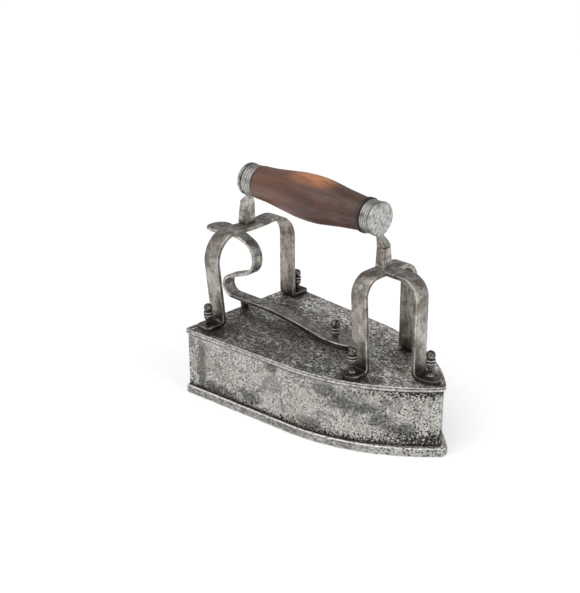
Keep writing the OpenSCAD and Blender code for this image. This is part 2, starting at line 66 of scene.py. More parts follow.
# The handle and its supports, with the sizes of the part's source
STRAP = 2.8
SUPPORT_HEIGHT = 64.8
FOOT_TOP = PLATE_TOP + STRAP
STRAP_TOP = PLATE_TOP + SUPPORT_HEIGHT
REAR_STRAP_X, FRONT_STRAP_X, NOSE_LEG_X = -79.3, 40.0, 70.4
AXIS_Z = STRAP_TOP + 30.5
REAR_HEAD_X, FRONT_HEAD_X = -77.3, 33.4
HEAD_RADIUS, HEAD_THICKNESS = 11.0, 3.0
BEVEL_Z, NECK_Z = AXIS_Z - HEAD_RADIUS - 5, AXIS_Z - HEAD_RADIUS - 1
FILED_LINE_Z = BEVEL_Z - 1.1
GRIP_REAR_X, GRIP_FRONT_X = -68.3, 26.4
FERRULE_RADIUS, ROD_RADIUS = 10.7, 3.0
FERRULES = [(REAR_HEAD_X, GRIP_REAR_X), (GRIP_FRONT_X, FRONT_HEAD_X)]
FERRULE_LINES = (0.25, 0.5, 0.75)

# Finial screws: where they stand, how far some are sunk, and as (height, half-width) their rings, painted
# bright as a highlight, and their grooves and waist, painted dark as shade
SPRING_SEAT = PLATE_TOP + 4.5
NEAR_FOOT_Y, FAR_FOOT_Y = -29.3, 30.0
SPRING_SCREWS = [(-1.0, 0.0)]
REAR_SCREWS = [(REAR_STRAP_X, -40.3), (REAR_STRAP_X, 44.8)]
FRONT_SCREWS = [(FRONT_STRAP_X, NEAR_FOOT_Y), (FRONT_STRAP_X, FAR_FOOT_Y), (NOSE_LEG_X + 7.8, 0.0)]
SPRING_SUNK, REAR_SUNK = 5.2, 3.0
FINIAL_HEIGHT, FINIAL_STEM = 17.8, 1.9
HIGHLIGHT_RINGS = [(9.7, 0.5), (11.7, 0.5), (0.9, 0.9)]
SHADE_GROOVES = [(10.65, 0.7), (12.65, 0.6), (4.0, 2.6)]

# Stains on the wall and dark patches on the plate, as (place, place, reach, reach), along x and z on the wall
# and along x and y on the plate
WALL_STAINS = [(-77, 20, 5.2, 28.6), (-62, 11, 20.8, 4.55), (-34, 14, 10.4, 5.2), (-16, 41.5, 6.5, 3.9),
               (16, 12, 11.7, 5.2), (27, 38, 11.7, 6.5), (38, 31, 10.4, 6.5), (50, 30, 9.1, 5.2),
               (61, 23, 9.1, 6.5), (63, 36, 3.9, 3.25), (69, 17.5, 10.4, 5.85)]
PLATE_SHADES = [(-66, -26, 14, 9), (-64, -9, 14, 6), (-40, -9, 14, 6), (-20, -13, 14, 6), (-11, -34, 7, 7),
                (8, -12, 14, 7), (60, -2, 8, 9)]

# The latch spring: (x, top face, thickness) along its strap, half-widths by x, and those of the curl by z
LEAF_TIP_X = -118.2
SPRING_STATIONS = [(16.8, SPRING_SEAT, 4.5), (-10, SPRING_SEAT, 4.5), (-14, 52.7, 4.3), (-22, 53.7, 4.0),
                   (-30, 54.8, 3.5), (-38, 55.75, 3.0), (-46, 56.3, 2.7), (-58, 56.6, 2.5), (-80, 56.5, 2.5),
                   (-94.7, 56.5, 2.5)]
SPRING_PLAN = [(-94.7, 4.9), (-78, 5.0), (-66, 4.65), (-54, 4.9), (-38, 5.6), (-22, 5.7), (-14, 6.0),
               (-9, 6.8), (0, 7.2), (6, 6.8), (10, 5.9), (13.5, 4.5), (15.8, 2.9), (16.8, 1.4)]
CURL_PLAN = [(68, 4.9), (82, 4.25)]
CURL_THICKNESS = 2.5
LEAF_PLAN = [(LEAF_TIP_X, 1.8), (-117.9, 3.2), (-117.3, 4.9), (-116.0, 6.6), (-114.3, 7.9), (-111.8, 8.7),
             (-108.6, 8.9), (-105, 8.0), (-101, 6.8), (-96, 5.6), (-89, 4.7), (-82.7, 4.25)]
LEAF_THICKNESS = [(LEAF_TIP_X, 1.5), (-112, 2.1), (-95, CURL_THICKNESS)]
CATCH_PROFILE = [(1.5, 40.9), (1.5, 48.1), (2.7, 48.1), (2.9, 50.5), (3.4, 53.9), (3.4, 54.6)]

# The grip's radius, by the share of its length from the rear
GRIP_SHAPE = [(0.0, 10.9), (0.012, 11.2), (0.05, 11.3), (0.14, 11.9), (0.29, 13.6), (0.40, 14.8),
              (0.49, 15.12), (0.51, 15.15), (0.59, 14.85), (0.68, 13.8), (0.78, 12.45), (0.88, 11.4),
              (0.95, 10.75), (0.972, 10.8)]
# Middle of the rubbed patch on top of the grip, which also carries a painted highlight
WEAR_AND_HIGHLIGHT_X = -19.0

# The photograph's camera, solved from edges measured in it, with its focal length in the photograph's pixels
CAMERA_AZIMUTH, CAMERA_ELEVATION, CAMERA_ROLL = 44.349, 23.022, -0.236
CAMERA_TARGET, CAMERA_DISTANCE = Vector((-12.286, -30.657, 87.125)), 871.491
PHOTO_WIDTH_PIXELS, FOCAL_PIXELS = 580.0, 1375.477
SENSOR_WIDTH = 36.0


# Mesh helpers

def placed(name, data):
    """A new object in the scene."""
    item = bpy.data.objects.new(name, data)
    bpy.context.scene.collection.objects.link(item)
    return item


def build(name, points, faces, materials, sharp, choice=None):
    """One mesh object, smooth except where its faces meet at more than the angle sharp.
    choice(i) gives the material index of face i, as the faces are listed."""
    mesh = bpy.data.meshes.new(name)
    mesh.from_pydata([Vector(p) * MM for p in points], [], faces)
    if choice:
        mesh.polygons.foreach_set("material_index", [choice(i) for i in range(len(faces))])
    work = bmesh.new()
    work.from_mesh(mesh)
    bmesh.ops.remove_doubles(work, verts=work.verts, dist=WELD * MM)
    bmesh.ops.recalc_face_normals(work, faces=work.faces)
    work.to_mesh(mesh)
    work.free()
    mesh.polygons.foreach_set("use_smooth", [True] * len(mesh.polygons))
    mesh.set_sharp_from_angle(angle=math.radians(sharp))
    for material in materials:
        mesh.materials.append(material)
    return placed(name, mesh)


def loft(*skins):
    """Points and faces of closed skins, each given as a list of rings with equal point counts."""
    points, faces = [], []
    for rings in skins:
        first, n = len(points), len(rings[0])
        points += [p for ring in rings for p in ring]
        for k in range(len(rings) - 1):
            low, high = first + k * n, first + (k + 1) * n
            faces += [(low + i, low + (i + 1) % n, high + (i + 1) % n, high + i) for i in range(n)]
        last = first + (len(rings) - 1) * n
        faces += [tuple(range(first + n - 1, first - 1, -1)), tuple(range(last, last + n))]
    return points, faces


def finished(piece, body, slot, *replaced):
    """Puts a piece on its body and lets it stand for its CAD nodes."""
    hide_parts(*replaced)
    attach(piece, body)
    return piece


def arc(centre, radius, start, end, steps):
    """Points along an arc."""
    turns = [math.radians(start + (end - start) * i / steps) for i in range(steps + 1)]
    return [(centre[0] + radius * math.cos(a), centre[1] + radius * math.sin(a)) for a in turns]


def lathe_rings(profile, origin, axis, steps):
    """Rings round an x or z axis from (radius, height) pairs; a radius of 0 closes the ring to a point."""
    rings = []
    for radius, height in profile:
        ring = []
        for i in range(steps):
            a = TAU * i / steps
            c, s = max(radius, 0.001) * math.cos(a), max(radius, 0.001) * math.sin(a)
            local = (c, s, height) if axis == "z" else (height, c, s)
            ring.append(tuple(origin[k] + local[k] for k in range(3)))
        rings.append(ring)
    return rings


def smooth_curve(stations, steps=5):
    """A Catmull-Rom curve through (x, y) stations, steps points between each two."""
    padded = [stations[0], *stations, stations[-1]]
    curve = []
    for a, b, c, d in zip(padded, padded[1:], padded[2:], padded[3:]):
        for i in range(steps):
            t = i / steps
            curve.append(tuple(
                0.5 * (2 * b[k] + (c[k] - a[k]) * t + (2 * a[k] - 5 * b[k] + 4 * c[k] - d[k]) * t * t
                       + (3 * b[k] - a[k] - 3 * c[k] + d[k]) * t ** 3) for k in range(2)))
    return curve + [stations[-1]]


def between(x, table):
    """Straight-line interpolation in a table of (x, value) sorted by x."""
    if x <= table[0][0]:
        return table[0][1]
    for (x0, v0), (x1, v1) in zip(table, table[1:]):
        if x <= x1:
            return v0 + (v1 - v0) * (x - x0) / (x1 - x0)
    return table[-1][1]


def resampled(path, step):
    """A path as evenly spaced points, about step apart."""
    lengths = [0.0]
    for p, q in zip(path, path[1:]):
        lengths.append(lengths[-1] + math.dist(p, q))
    count = max(2, round(lengths[-1] / step))
    table = [[(s, p[k]) for s, p in zip(lengths, path)] for k in range(2)]
    return [tuple(between(lengths[-1] * i / count, table[k]) for k in range(2)) for i in range(count + 1)]


# Shader helpers

class Shader:
    """A procedural material on the part's own coordinates x, y and z."""

    def __init__(self, name, metallic):
        self.material = bpy.data.materials.new(name)
        self.material.use_nodes = True
        self.tree = self.material.node_tree
        self.tree.nodes.clear()
        output = self.add("ShaderNodeOutputMaterial")
        self.bsdf = self.add("ShaderNodeBsdfPrincipled")
        self.tree.links.new(self.bsdf.outputs[0], output.inputs[0])
        self.bsdf.inputs["Metallic"].default_value = metallic
        self.place = self.add("ShaderNodeTexCoord").outputs["Object"]
        split = self.add("ShaderNodeSeparateXYZ")
        self.tree.links.new(self.place, split.inputs[0])
        self.x, self.y, self.z = split.outputs

    def add(self, kind, **settings):
        node = self.tree.nodes.new(kind)
        for key, value in settings.items():
            setattr(node, key, value)
        return node

    def put(self, socket, value):
        """Links a socket to another one, or sets it to a number or colour; None leaves it as it is."""
        if isinstance(value, bpy.types.NodeSocket):
            self.tree.links.new(value, socket)
        elif value is not None:
            socket.default_value = (*value, 1.0) if hasattr(value, "__len__") else value

    def stretched(self, scale, turn=(0, 0, 0)):
        """The part's coordinates, scaled and turned for a noise."""
        node = self.add("ShaderNodeMapping")
        self.put(node.inputs["Vector"], self.place)
        node.inputs["Scale"].default_value = scale
        node.inputs["Rotation"].default_value = [math.radians(a) for a in turn]
        return node.outputs[0]

    def noise(self, size, detail, rough, warp=0.0, vector=None):
        """Noise with features about size wide."""
        node = self.add("ShaderNodeTexNoise")
        self.put(node.inputs["Vector"], self.place if vector is None else vector)
        node.inputs["Scale"].default_value = 1 / (size * MM)
        node.inputs["Detail"].default_value = detail
        node.inputs["Roughness"].default_value = rough
        node.inputs["Distortion"].default_value = warp
        return node.outputs["Fac"]

    def ramp(self, value, *stops):
        """A colour ramp; stops are (position, colour)."""
        node = self.add("ShaderNodeValToRGB")
        self.put(node.inputs[0], value)
        band = node.color_ramp
        while len(band.elements) < len(stops):
            band.elements.new(1.0)
        for element, (position, colour) in zip(band.elements, stops):
            element.position = position
            element.color = (*colour, 1)
        return node.outputs[0]

    def calc(self, operation, a, b=None):
        """A Math node on one or two values."""
        node = self.add("ShaderNodeMath", operation=operation)
        for socket, value in zip(node.inputs, (a, b)):
            self.put(socket, value)
        return node.outputs[0]

    def times(self, a, b):
        return self.calc("MULTIPLY", a, b)

    def most(self, *values):
        """The greatest of several values."""
        result = values[0]
        for value in values[1:]:
            result = self.calc("MAXIMUM", result, value)
        return result

    def fit(self, value, low, high, to_low=0.0, to_high=1.0):
        """A smooth step of a value: to_low up to low, to_high from high on."""
        node = self.add("ShaderNodeMapRange", clamp=True, interpolation_type="SMOOTHSTEP")
        for socket, number in zip(node.inputs, (value, low, high, to_low, to_high)):
            self.put(socket, number)
        return node.outputs[0]

    def along(self, coordinate, low, high, to_low=0.0, to_high=1.0):
        """A smooth step between two places on a coordinate."""
        return self.fit(coordinate, low * MM, high * MM, to_low, to_high)

    def mix(self, share, a, b, blend="MIX"):
        node = self.add("ShaderNodeMix", data_type="RGBA", blend_type=blend)
        self.put(node.inputs[0], share)
        self.put(node.inputs[6], a)
        self.put(node.inputs[7], b)
        return node.outputs[2]

    def away(self, coordinate, place):
        """How far a coordinate is from a place."""
        return self.calc("ABSOLUTE", self.calc("SUBTRACT", coordinate, place * MM))

    def band(self, coordinate, centre, half):
        """1 at a place on a coordinate, falling to 0 at half away from it."""
        return self.along(self.away(coordinate, centre), 0.0, half, 1.0, 0.0)

    def blot(self, u, v, spot, wander):
        """1 at a spot (place, place, reach, reach) on two coordinates, falling to 0 about its reach;
        wander, a noise about 0.5, frays its outline."""
        place_u, place_v, reach_u, reach_v = spot
        full_within, gone_beyond, fraying = 0.45, 1.15, 2.2
        du = self.calc("DIVIDE", self.calc("SUBTRACT", u, place_u * MM), reach_u * MM)
        dv = self.calc("DIVIDE", self.calc("SUBTRACT", v, place_v * MM), reach_v * MM)
        distance = self.calc("SQRT", self.calc("ADD", self.times(du, du), self.times(dv, dv)))
        fray = self.times(self.calc("SUBTRACT", wander, 0.5), fraying)
        return self.fit(self.calc("ADD", distance, fray), full_within, gone_beyond, 1.0, 0.0)

    def pits(self, limit, grain):
        """1 where a grain lies under its limit, with a narrow edge."""
        edge = 0.025
        return self.fit(self.calc("SUBTRACT", limit, grain), 0.0, edge)

    def bump(self, height, depth, strength, normal=None):
        node = self.add("ShaderNodeBump")
        node.inputs["Strength"].default_value = strength
        node.inputs["Distance"].default_value = depth * MM
        self.put(node.inputs["Height"], height)
        self.put(node.inputs["Normal"], normal)
        return node.outputs[0]

    def done(self, colour, roughness, normal=None):
        self.put(self.bsdf.inputs["Base Color"], colour)
        self.put(self.bsdf.inputs["Roughness"], roughness)
        self.put(self.bsdf.inputs["Normal"], normal)
        return self.material


# Materials

METALLIC = 0.8
RUST = (0.045, 0.028, 0.022)
PIT = (0.022, 0.019, 0.018)


def wall_iron():
    """Ground iron: pale and finely grained, with dark clouds, pits, rust where it meets the sole and a painted
    shadow under the top plate's rim.
    """
    s = Shader("ground_iron", METALLIC)
    speckle = s.noise(1.3, 3, 0.72)
    grainy = s.ramp(speckle, (0.36, (0.075, 0.072, 0.068)), (0.44, (0.23, 0.223, 0.21)),
                    (0.52, (0.45, 0.437, 0.408)), (0.63, (0.68, 0.666, 0.625)))
    smooth = s.ramp(speckle, (0.34, (0.22, 0.213, 0.197)), (0.48, (0.45, 0.437, 0.408)),
                    (0.65, (0.68, 0.665, 0.625)))
    tone = s.mix(s.fit(s.noise(13, 4, 0.62, 0.5), 0.44, 0.58), smooth, grainy)

    wander = s.noise(9, 6, 0.68, 0.5)
    fray = s.noise(1.9, 4, 0.7)
    drift = s.noise(26, 5, 0.62, 0.8, s.stretched((1.0, 1.0, 1.3), (0, 34, 0)))
    cloud = s.fit(drift, 0.55, 0.64, 0.0, 0.62)
    cloud = s.most(cloud, *[s.blot(s.x, s.z, spot, wander) for spot in WALL_STAINS])
    cloud = s.times(cloud, s.fit(fray, 0.34, 0.52, 0.45, 1.0))
    tone = s.mix(s.times(cloud, 0.88), tone, (0.082, 0.082, 0.083))
    warm = s.fit(s.noise(17, 3, 0.55), 0.45, 0.7, 0.0, 0.35)
    tone = s.mix(warm, tone, (0.33, 0.295, 0.245))

    nose = s.along(s.x, 40, 84)
    low, high = s.along(s.z, 8.5, 22, 1.0, 0.0), s.along(s.z, 37.5, 43.5)
    foot = s.along(s.z, 7.5, 15, 0.7, 0.0)
    stern = s.times(s.along(s.x, -70, -86), s.along(s.z, 20, 34, 0.35, 0.0))
    dense = s.most(s.times(nose, s.most(low, high)), foot, stern)
    limit = s.calc("ADD", s.along(s.x, 20, 80, 0.375, 0.415), s.times(dense, 0.17))
    pit = s.pits(limit, s.noise(1.35, 2.5, 0.6))
    tone = s.mix(s.times(pit, 0.93), tone, PIT)

    # Rust at the foot of the wall, and a painted shadow in the rust colour under the top plate's overhanging
    # rim
    edge = s.most(s.along(s.z, SOLE_TOP + 0.2, SOLE_TOP + 3.4, 1.0, 0.0),
                  s.along(s.z, WALL_TOP - 1.7, WALL_TOP - 0.1))
    tone = s.mix(s.times(edge, s.fit(wander, 0.3, 0.6, 0.5, 1.0)), tone, RUST)
    rough = s.calc("ADD", s.fit(speckle, 0.3, 0.7, 0.56, 0.40), s.times(pit, 0.3))
    normal = s.bump(s.noise(1.7, 4, 0.65), 0.09, 0.6)
    normal = s.bump(s.calc("SUBTRACT", 1.0, pit), 0.16, 0.9, normal)
    return s.done(tone, rough, normal)


def sole_iron():
    """The sole: streaked grey, pitted towards the nose, with worn bright edges and painted glints on its upper
    edge towards the nose.
    """
    s = Shader("sole_iron", METALLIC)
    speckle = s.noise(1.4, 4, 0.7, 0.0, s.stretched((0.55, 0.55, 1.0)))
    tone = s.ramp(speckle, (0.34, (0.075, 0.070, 0.066)), (0.45, (0.22, 0.212, 0.20)),
                  (0.54, (0.38, 0.368, 0.345)), (0.66, (0.58, 0.567, 0.535)))
    clouds = s.fit(s.noise(13, 4, 0.6, 0.4), 0.46, 0.62, 0.0, 0.55)
    tone = s.mix(clouds, tone, (0.10, 0.097, 0.094))
    tone = s.mix(s.along(s.x, 40, 75, 0.0, 0.45), tone, (0.66, 0.65, 0.62))

    bright = s.most(s.band(s.z, 5.8, 0.7), s.band(s.z, 0.6, 0.6))
    bright = s.times(bright, s.fit(speckle, 0.36, 0.5, 0.35, 0.95))
    tone = s.mix(bright, tone, (0.72, 0.71, 0.68))
    ledge = s.times(s.along(s.z, SOLE_TOP - 0.22, SOLE_TOP), s.along(s.x, 30, 65, 1.0, 0.2))
    tone = s.mix(s.times(ledge, s.fit(s.noise(5, 3, 0.6), 0.3, 0.55, 0.5, 1.0)), tone, RUST)
    # Painted highlight: glints along the sole's upper edge towards the nose
    glints = s.times(s.along(s.x, 40, 75, 0.0, 0.9), s.fit(s.noise(1.7, 3, 0.65), 0.45, 0.53))
    tone = s.mix(s.times(glints, s.along(s.z, 5.0, 5.8)), tone, (0.90, 0.885, 0.85))

    pit = s.pits(s.along(s.x, 20, 85, 0.35, 0.46), s.noise(1.6, 2.5, 0.65))
    tone = s.mix(s.times(pit, 0.9), tone, PIT)
    return s.done(tone, s.fit(speckle, 0.3, 0.7, 0.50, 0.36), s.bump(s.noise(1.8, 4, 0.6), 0.12, 0.7))


def plate_iron():
    """The top plate: dark and finely streaked, browner round the feet, with a painted reflection brightening
    its far side and nose, and a painted highlight on the beads of its rim.
    """
    s = Shader("streaked_iron", METALLIC)
    worms = s.noise(3.0, 3, 0.6, 2.0, s.stretched((0.7, 1.25, 1.0), (0, 0, 40)))
    tone = s.ramp(worms, (0.39, (0.056, 0.053, 0.051)), (0.50, (0.185, 0.18, 0.172)),
                  (0.555, (0.40, 0.392, 0.378)), (0.60, (0.90, 0.885, 0.85)))
    wander = s.noise(13, 4, 0.6, 0.3)
    dull = s.fit(s.noise(22, 3, 0.55, 0.3), 0.40, 0.62, 0.15, 0.7)
    dull = s.most(dull, *[s.blot(s.x, s.y, spot, wander) for spot in PLATE_SHADES])
    tone = s.mix(s.times(dull, 0.45), tone, (0.13, 0.112, 0.100))
    # Painted reflection: the far side and the nose made brighter
    light = s.most(s.along(s.y, 16, 42), s.along(s.x, 36, 70))
    brighter = s.mix(1.0, tone, (3.3, 3.24, 3.13), "MULTIPLY")
    tone = s.mix(s.times(light, 0.56), tone, brighter)
    feet = [(x + 5, y * 0.93, 17, 12) for x, y in [*REAR_SCREWS, *FRONT_SCREWS]]
    feet = s.most(*[s.blot(s.x, s.y, spot, wander) for spot in feet])
    tone = s.mix(s.times(feet, 0.66), tone, (0.050, 0.031, 0.023))

    # Painted highlight: the rim's beads in a paler colour
    side = s.along(s.z, PLATE_TOP - 0.4, PLATE_TOP, 1.0, 0.0)
    rim = s.ramp(s.noise(2.0, 3, 0.6), (0.32, (0.19, 0.183, 0.17)), (0.46, (0.42, 0.41, 0.385)),
                 (0.62, (0.64, 0.63, 0.60)))
    tone = s.mix(side, tone, rim)
    groove = s.most(s.band(s.z, RIM_GROOVE_Z, 0.38), s.along(s.z, WALL_TOP + 0.2, WALL_TOP + 0.5, 1.0, 0.0))
    tone = s.mix(s.times(groove, 0.95), tone, RUST)
    normal = s.bump(worms, 0.09, 0.6)
    normal = s.bump(s.noise(5.0, 3, 0.5), 0.25, 0.45, normal)
    return s.done(tone, s.fit(worms, 0.35, 0.65, 0.48, 0.34), normal)


def forged_steel(name, tone_low, tone_high, rust_low, rust_high, pale_level=0.0, drawn=0.0, dark_line=0.0,
                 wormed=0.0):
    """Drawn and filed straps: soft brownish grey that darkens to rust between two levels.
    pale_level is the middle of a stretch of painted light, drawn the share of pale streaks along the legs,
    dark_line the level of a filed line and wormed the share of pale and dark worm marks."""
    s = Shader(name, METALLIC)
    soft = s.noise(8, 4, 0.58, 0.3)
    tone = s.mix(s.fit(soft, 0.36, 0.64), tone_high, tone_low)
    if pale_level:
        # Painted light: the legs made paler about this level
        pale = s.band(s.z, pale_level, 17)
        tone = s.mix(s.times(pale, 0.5), tone, [1.25 * v for v in tone_high])
    grain = s.noise(1.0, 3, 0.7)
    tone = s.mix(s.fit(grain, 0.44, 0.30, 0.0, 0.6), tone, (0.06, 0.05, 0.044))
    scale = s.fit(s.noise(3.4, 5, 0.68), 0.50, 0.62, 0.0, 0.62)
    tone = s.mix(scale, tone, (0.095, 0.075, 0.064))
    if drawn:
        streaks = s.noise(2.2, 3, 0.6, 0.0, s.stretched((1.0, 1.0, 0.14)))
        tone = s.mix(s.fit(streaks, 0.54, 0.66, 0.0, drawn), tone, (0.62, 0.60, 0.565))
    if wormed:
        worms = s.noise(2.6, 3, 0.6, 1.8)
        tone = s.mix(s.fit(worms, 0.50, 0.38, 0.0, wormed), tone, (0.07, 0.064, 0.06))
        tone = s.mix(s.fit(worms, 0.54, 0.62, 0.0, wormed), tone, (0.72, 0.70, 0.67))
    if dark_line:
        tone = s.mix(s.times(s.band(s.z, dark_line, 0.55), 0.9), tone, PIT)
    low = s.times(s.along(s.z, rust_low, rust_high, 1.0, 0.0), s.fit(soft, 0.25, 0.55, 0.65, 1.0))
    tone = s.mix(low, tone, (0.040, 0.028, 0.023))
    return s.done(tone, s.fit(soft, 0.3, 0.7, 0.36, 0.48), s.bump(s.noise(2.6, 4, 0.6), 0.09, 0.55))


def post_steel(name, dark_line=0.0):
    """The posts: pale forged steel that darkens where they stand on the straps."""
    return forged_steel(name, (0.20, 0.18, 0.16), (0.64, 0.61, 0.57), STRAP_TOP - 1.5, STRAP_TOP + 2.5,
                        drawn=0.2, dark_line=dark_line)


def turned_steel(name, seat):
    """Finial screws: dark brown, with painted shade in their grooves and waists and a painted highlight on
    their rings.
    """
    s = Shader(name, METALLIC)
    tone = s.ramp(s.noise(1.5, 3, 0.6), (0.36, (0.03, 0.021, 0.018)), (0.5, (0.10, 0.08, 0.068)),
                  (0.66, (0.30, 0.27, 0.245)))
    # Painted highlight on the rings
    rings = s.most(*[s.band(s.z, seat + height, half) for height, half in HIGHLIGHT_RINGS])
    tone = s.mix(s.times(rings, 0.75), tone, (0.52, 0.50, 0.47))
    # Painted shade in the grooves and the waist
    grooves = s.most(*[s.band(s.z, seat + height, half) for height, half in SHADE_GROOVES])
    tone = s.mix(s.times(grooves, 0.9), tone, (0.020, 0.014, 0.012))
    return s.done(tone, 0.32, s.bump(s.noise(1.0, 3, 0.6), 0.05, 0.5))


def bright_steel():
    """Ferrules and heads: pale, with fine scratches, and dark in the turned lines and the seams."""
    s = Shader("bright_steel", 0.85)
    across = s.noise(1.2, 4, 0.7, 0.0, s.stretched((3.2, 0.55, 0.55), (12, 0, 0)))
    tone = s.ramp(across, (0.32, (0.08, 0.076, 0.072)), (0.42, (0.30, 0.292, 0.278)),
                  (0.52, (0.46, 0.45, 0.433)), (0.68, (0.58, 0.57, 0.55)))
    soft = s.fit(s.noise(4.5, 3, 0.6), 0.52, 0.70, 0.0, 0.75)
    tone = s.mix(soft, tone, (0.12, 0.113, 0.106))
    lines = [x0 + (x1 - x0) * share for x0, x1 in FERRULES for share in FERRULE_LINES]
    tone = s.mix(s.times(s.most(*[s.band(s.x, x, 0.45) for x in lines]), 0.5), tone, PIT)
    seams = s.most(*[s.band(s.x, x, 0.85) for ferrule in FERRULES for x in ferrule])
    tone = s.mix(s.times(seams, 0.9), tone, PIT)
    return s.done(tone, s.fit(across, 0.3, 0.7, 0.44, 0.30), s.bump(across, 0.06, 0.6))


def dark_wood():
    """Grip: red-brown wood with lengthwise grain, paler on top from rubbing and a painted highlight, and
    darker at its ends.
    """
    s = Shader("dark_wood", 0.0)
    grain = s.noise(3.4, 5, 0.62, 0.5, s.stretched((0.07, 1.0, 1.0)))
    fine = s.noise(0.7, 3, 0.6, 0.0, s.stretched((0.05, 1.0, 1.0)))
    tone = s.ramp(grain, (0.33, (0.036, 0.014, 0.009)), (0.48, (0.072, 0.029, 0.017)),
                  (0.66, (0.118, 0.047, 0.026)))
    tone = s.mix(s.fit(fine, 0.5, 0.3, 0.0, 0.5), tone, (0.020, 0.010, 0.008))
    tone = s.mix(s.along(s.x, -10, -45, 0.0, 0.5), tone, (0.18, 0.072, 0.038))

    fibres = s.noise(1.6, 4, 0.65, 0.3, s.stretched((0.10, 1.0, 1.0)))
    # Rubbed wear with a painted highlight: paler orange along the top of the grip
    worn = s.along(s.away(s.x, WEAR_AND_HIGHLIGHT_X), 7, 26, 1.0, 0.0)
    worn = s.times(worn, s.along(s.z, AXIS_Z + 10.5, AXIS_Z + 15.2))
    worn = s.times(worn, s.fit(fibres, 0.36, 0.56, 0.45, 1.0))
    tone = s.mix(s.times(worn, 0.95), tone, (0.60, 0.235, 0.095))
    ends = s.most(s.along(s.x, GRIP_FRONT_X - 3.2, GRIP_FRONT_X - 1.9),
                  s.along(s.x, GRIP_REAR_X + 2.3, GRIP_REAR_X + 0.8))
    tone = s.mix(s.times(ends, 0.85), tone, (0.012, 0.009, 0.008))
    s.bsdf.inputs["Coat Weight"].default_value = 0.2
    s.bsdf.inputs["Coat Roughness"].default_value = 0.35
    return s.done(tone, s.fit(grain, 0.3, 0.7, 0.52, 0.38), s.bump(grain, 0.10, 0.5))


def cast_slug():
    """The slug: dark, scaly cast iron."""
    s = Shader("cast_slug", 0.5)
    scale = s.noise(3.5, 5, 0.65)
    tone = s.ramp(scale, (0.35, (0.06, 0.05, 0.045)), (0.55, (0.14, 0.12, 0.11)), (0.7, (0.22, 0.19, 0.17)))
    return s.done(tone, 0.65, s.bump(scale, 0.4, 0.7))


WALL_IRON, SOLE_IRON, PLATE_IRON = wall_iron(), sole_iron(), plate_iron()
# The straps' broad faces, their eased edges painted paler as a highlight and their narrow sides painted darker
# as shade
STRAP_STEEL = forged_steel("strap_steel", (0.165, 0.142, 0.124), (0.41, 0.385, 0.35),
                           PLATE_TOP + 2, PLATE_TOP + 17, pale_level=PLATE_TOP + 30, drawn=0.45)
EDGE_HIGHLIGHT_STEEL = forged_steel("strap_edge_highlight", (0.30, 0.27, 0.24), (0.60, 0.57, 0.52),
                          PLATE_TOP + 0.5, PLATE_TOP + 6)
SIDE_SHADE_STEEL = forged_steel("strap_side_shade", (0.15, 0.125, 0.105), (0.34, 0.31, 0.275),
                          PLATE_TOP + 2, PLATE_TOP + 14)
STRAP_SET = [STRAP_STEEL, EDGE_HIGHLIGHT_STEEL, SIDE_SHADE_STEEL]

# The spring has no rust of its own, so its rust levels lie below it
UNDER_SPRING = (20, 40)
# Like the straps': edges painted paler as a highlight, and sides, ends and boss painted near black as shade
SPRING_SET = [
    forged_steel("spring_steel", (0.18, 0.168, 0.155), (0.38, 0.365, 0.342), *UNDER_SPRING, wormed=0.6),
    forged_steel("spring_edge_highlight", (0.36, 0.34, 0.315), (0.62, 0.60, 0.57), *UNDER_SPRING),
    forged_steel("spring_side_shade", (0.025, 0.021, 0.019), (0.085, 0.075, 0.068), *UNDER_SPRING),
]
POST_STEEL = post_steel("post_steel")
NOTCHED_STEEL = post_steel("notched_post_steel", FILED_LINE_Z)
FOOT_FINIALS = turned_steel("foot_finials", FOOT_TOP)
REAR_FINIALS = turned_steel("rear_finial_steel", FOOT_TOP - REAR_SUNK)
SPRING_FINIAL = turned_steel("spring_finial_steel", SPRING_SEAT - SPRING_SUNK)
BRIGHT, WOOD, SLUG = bright_steel(), dark_wood(), cast_slug()


# Box: sole, wall and top plate

STERN_STEPS, CORNER_STEPS = 12, 5


def side_outline(x0, half0, x1, half1, tip_x, tip_r, corner):
    """One side of the iron in plan, from the stern's middle round its corner to the nose tip.
    The bow is an arc that leaves the straight side and meets the round tip without a kink."""
    lean = math.atan((half0 - half1) / (x1 - x0))
    n = Vector((math.sin(lean), math.cos(lean)))
    nose = Vector((tip_x - tip_r, 0.0))
    w = Vector((x1, half1)) - nose
    radius = (w.dot(w) - tip_r * tip_r) / (2 * (w.dot(n) - tip_r))
    centre = Vector((x1, half1)) - n * radius
    turn = math.degrees(math.atan2(-centre.y, nose.x - centre.x))
    lean = math.degrees(lean)
    stern = [(x0, half0 * k / STERN_STEPS) for k in range(STERN_STEPS)]
    round_corner = arc((x0 + corner, half0 - corner), corner, 180, 90 - lean, CORNER_STEPS)
    shares = [k / 12 for k in range(1, 12)]
    straight = [(x0 + (x1 - x0) * share, half0 + (half1 - half0) * share) for share in shares]
    return (stern + round_corner + straight + arc(centre, radius, 90 - lean, turn, 44)
            + arc(nose, tip_r, turn, 0, 8)[1:])


def outline(inset, margin=0.0, reach=0.0, corner=1.4):
    """The whole plan, drawn in by inset; margin and reach widen it and draw out its nose."""
    side = side_outline(
        STERN_X - margin + inset, STERN_HALF + margin - inset, MID_X, MID_HALF + margin - inset,
        NOSE_X + reach - inset, max(NOSE_RADIUS + margin - inset, 1.0), corner)
    return side + [(x, -y) for x, y in side[-2:0:-1]]


def raised(plan, z):
    return [(x, y, z) for x, y in plan]


def bead(base, radius, low, steps=7):
    """(inset, z) pairs round a half-round bead that stands on level low."""
    turns = [math.radians(-82 + 164 * i / steps) for i in range(steps + 1)]
    return [(base + radius * (1 - math.cos(a)), low + radius * (1 + math.sin(a))) for a in turns]


